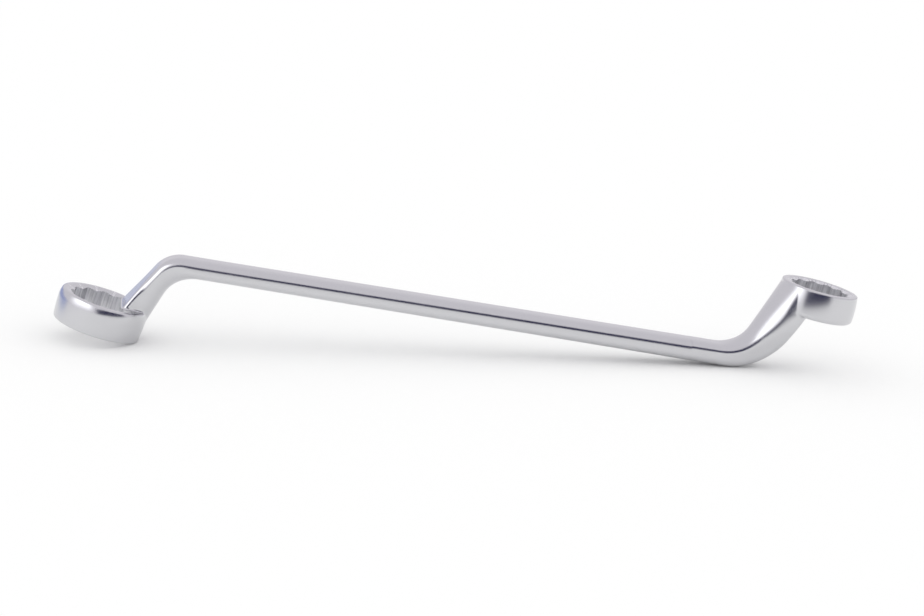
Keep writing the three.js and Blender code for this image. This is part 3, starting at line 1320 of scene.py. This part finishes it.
@dataclass(frozen=True)
class View:
    """Camera of the photograph, in the frame of the record.

    Attributes:
        distance: Distance from the camera to where it aims, in metres.
        lens: Focal length, in millimetres.
        sensor: Width of the sensor.
        aim: Place that it aims at.
        right: Direction of the picture's right.
        up: Direction of the picture's top.
        shift: Shift of the lens, as shares of the sensor's width.
        clip: Nearest and farthest distance that it sees.
    """

    distance: float = 1.1565
    lens: float = 101.1
    sensor: float = 36.0
    aim: tuple[float, float, float] = (0.000831, 0.0, 0.019359)
    right: tuple[float, float, float] = (0.9901, -0.1192, 0.0740)
    up: tuple[float, float, float] = (-0.0434, 0.2410, 0.9696)
    shift: tuple[float, float] = (-0.00158, 0.00356)
    clip: tuple[float, float] = (0.01, 20.0)

    def build(self) -> bpy.types.Object:
        """Places the camera and makes it the scene's own.

        Returns:
            The camera.
        """
        data = bpy.data.cameras.new("view")
        data.lens = self.lens
        data.sensor_width = self.sensor
        data.shift_x, data.shift_y = self.shift
        data.clip_start, data.clip_end = self.clip
        camera = new_object("view", data)
        right = Vector(self.right).normalized()
        back = right.cross(Vector(self.up)).normalized()
        up = back.cross(right)
        turn = Matrix((right, up, back)).transposed()
        camera.matrix_world = Matrix.Translation(Vector(self.aim) + back * self.distance) @ turn.to_4x4()
        bpy.context.scene.camera = camera
        return camera


@dataclass(frozen=True)
class Card:
    """An upright soft-edged card beside the tool, which only mirrored light sees.

    Attributes:
        name: Name of the card.
        left: Place of its left end on the floor, in metres, as seen from the tool.
        right: Place of its right end.
        low: Height of its lower edge.
        high: Height of its upper edge.
        soft: Share of its width and height that its edges fade over.
        colour: Light that it sends, where 1 is white.
    """

    MIDDLE: ClassVar[float] = 0.5

    name: str
    left: tuple[float, float]
    right: tuple[float, float]
    low: float
    high: float
    soft: float
    colour: COLOUR

    def build(self) -> bpy.types.Object:
        """Stands the card up and hides it from all rays but mirrored ones.

        Returns:
            The card.
        """
        ends = (self.left, self.right, self.right, self.left)
        heights = (self.low, self.low, self.high, self.high)
        mesh = quad(self.name, [(*end, height) for end, height in zip(ends, heights)])
        layer = mesh.uv_layers.new(name="card")
        for loop, corner in zip(layer.data, ((0, 0), (1, 0), (1, 1), (0, 1))):
            loop.uv = corner
        material = bpy.data.materials.new(self.name)
        material.use_nodes = True
        graph = Graph(material.node_tree)
        across, up, _ = graph.split(graph.make("ShaderNodeTexCoord", None, "UV"))
        half = self.MIDDLE - self.soft / 2
        shown = across.window(self.MIDDLE, half, self.soft) * up.window(self.MIDDLE, half, self.soft)
        light = graph.make("ShaderNodeEmission", {"Color": self.colour, "Strength": 1.0})
        clear = graph.make("ShaderNodeBsdfTransparent")
        shader = graph.make("ShaderNodeMixShader", {0: shown, 1: clear, 2: light})
        graph.node("ShaderNodeOutputMaterial", None, {"Surface": shader})
        mesh.materials.append(material)
        made = new_object(self.name, mesh)
        made.visible_camera = False
        made.visible_diffuse = False
        made.visible_shadow = False
        made.visible_transmission = False
        return made


@dataclass(frozen=True)
class Studio:
    """Pale floor and soft white light, with the few things that the chrome mirrors.

    Attributes:
        floor_size: Width of the floor, in metres.
        walls: Light that mirrored rays see round the tool.
        white: Light that all other rays see.
        floor_colour: Colour of the floor under scattered light.
        floor_roughness: Roughness of the floor.
        cards: Cards that mirrored rays see.
    """

    floor_size: float = 16.0
    walls: COLOUR = (0.84, 0.82, 0.86, 1.0)
    white: COLOUR = (1.0, 1.0, 1.0, 1.0)
    floor_colour: COLOUR = (0.8, 0.8, 0.8, 1.0)
    floor_roughness: float = 0.9
    cards: tuple[Card, ...] = (
        Card("dark_card", (-0.26, -0.345), (0.30, -0.235), 0.004, 0.17, 0.13, (0.0, 0.0, 0.05, 1.0)),
        Card("soft_box", (-0.43, 0.03), (-0.25, -0.34), 0.0, 0.46, 0.36, (2.1, 2.1, 2.15, 1.0)),
        Card("blue_card", (-0.14, 0.20), (-0.42, 0.01), 0.0, 0.06, 0.3, (0.40, 0.46, 0.74, 1.0)),
    )

    def floor(self) -> bpy.types.Object:
        """Lays the floor under the tool.

        Returns:
            The floor.
        """
        half = self.floor_size / 2
        mesh = quad("floor", [(-half, -half, 0), (half, -half, 0), (half, half, 0), (-half, half, 0)])
        made = new_object("floor", mesh)
        material = bpy.data.materials.new("pale_floor")
        material.use_nodes = True
        graph = Graph(material.node_tree)
        path = graph.node("ShaderNodeLightPath")
        seen = (graph.out(path, "Is Camera Ray") + graph.out(path, "Is Glossy Ray")).clamp()
        colour = graph.mix(seen, self.floor_colour, self.white)
        looks = {"Base Color": colour, "Roughness": self.floor_roughness, "Specular IOR Level": 0.0}
        shader = graph.make("ShaderNodeBsdfPrincipled", looks, "BSDF")
        graph.node("ShaderNodeOutputMaterial", None, {"Surface": shader})
        mesh.materials.append(material)
        return made

    def world(self) -> None:
        """Surrounds the tool with white light; mirrored light sees the walls instead."""
        world = bpy.data.worlds.new("studio")
        bpy.context.scene.world = world
        world.use_nodes = True
        graph = Graph(world.node_tree)
        mirrored = graph.out(graph.node("ShaderNodeLightPath"), "Is Glossy Ray")
        around = graph.mix(mirrored, self.white, self.walls)
        shader = graph.make("ShaderNodeBackground", {"Color": around, "Strength": 1.0})
        graph.node("ShaderNodeOutputWorld", None, {"Surface": shader})

    def build(self) -> None:
        """Builds floor and light and sets the view transform."""
        self.floor()
        self.world()
        for card in self.cards:
            card.build()
        bpy.context.scene.view_settings.view_transform = "Standard"


def settle(piece: bpy.types.Object, node: str) -> None:
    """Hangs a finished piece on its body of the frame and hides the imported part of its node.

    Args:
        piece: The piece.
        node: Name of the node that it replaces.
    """
    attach(piece, BodyName.FORGING.value)
    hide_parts(node)
    LOG.info("%s: %d faces", piece.name, len(piece.data.polygons))


def main() -> None:
    """Builds the camera, the studio and the three zones of the forging."""
    logging.basicConfig(level=logging.INFO, format="%(name)s: %(message)s")
    View().build()
    Studio().build()
    finish = SatinChrome()
    for sizes in (LARGE, SMALL):
        settle(RingHead(sizes, finish).build(), sizes.node)
    shank = Shank(Forging(LARGE).end_x, -Forging(SMALL).end_x, finish).build()
    settle(shank, "shank")


if __name__ == "__main__":
    main()
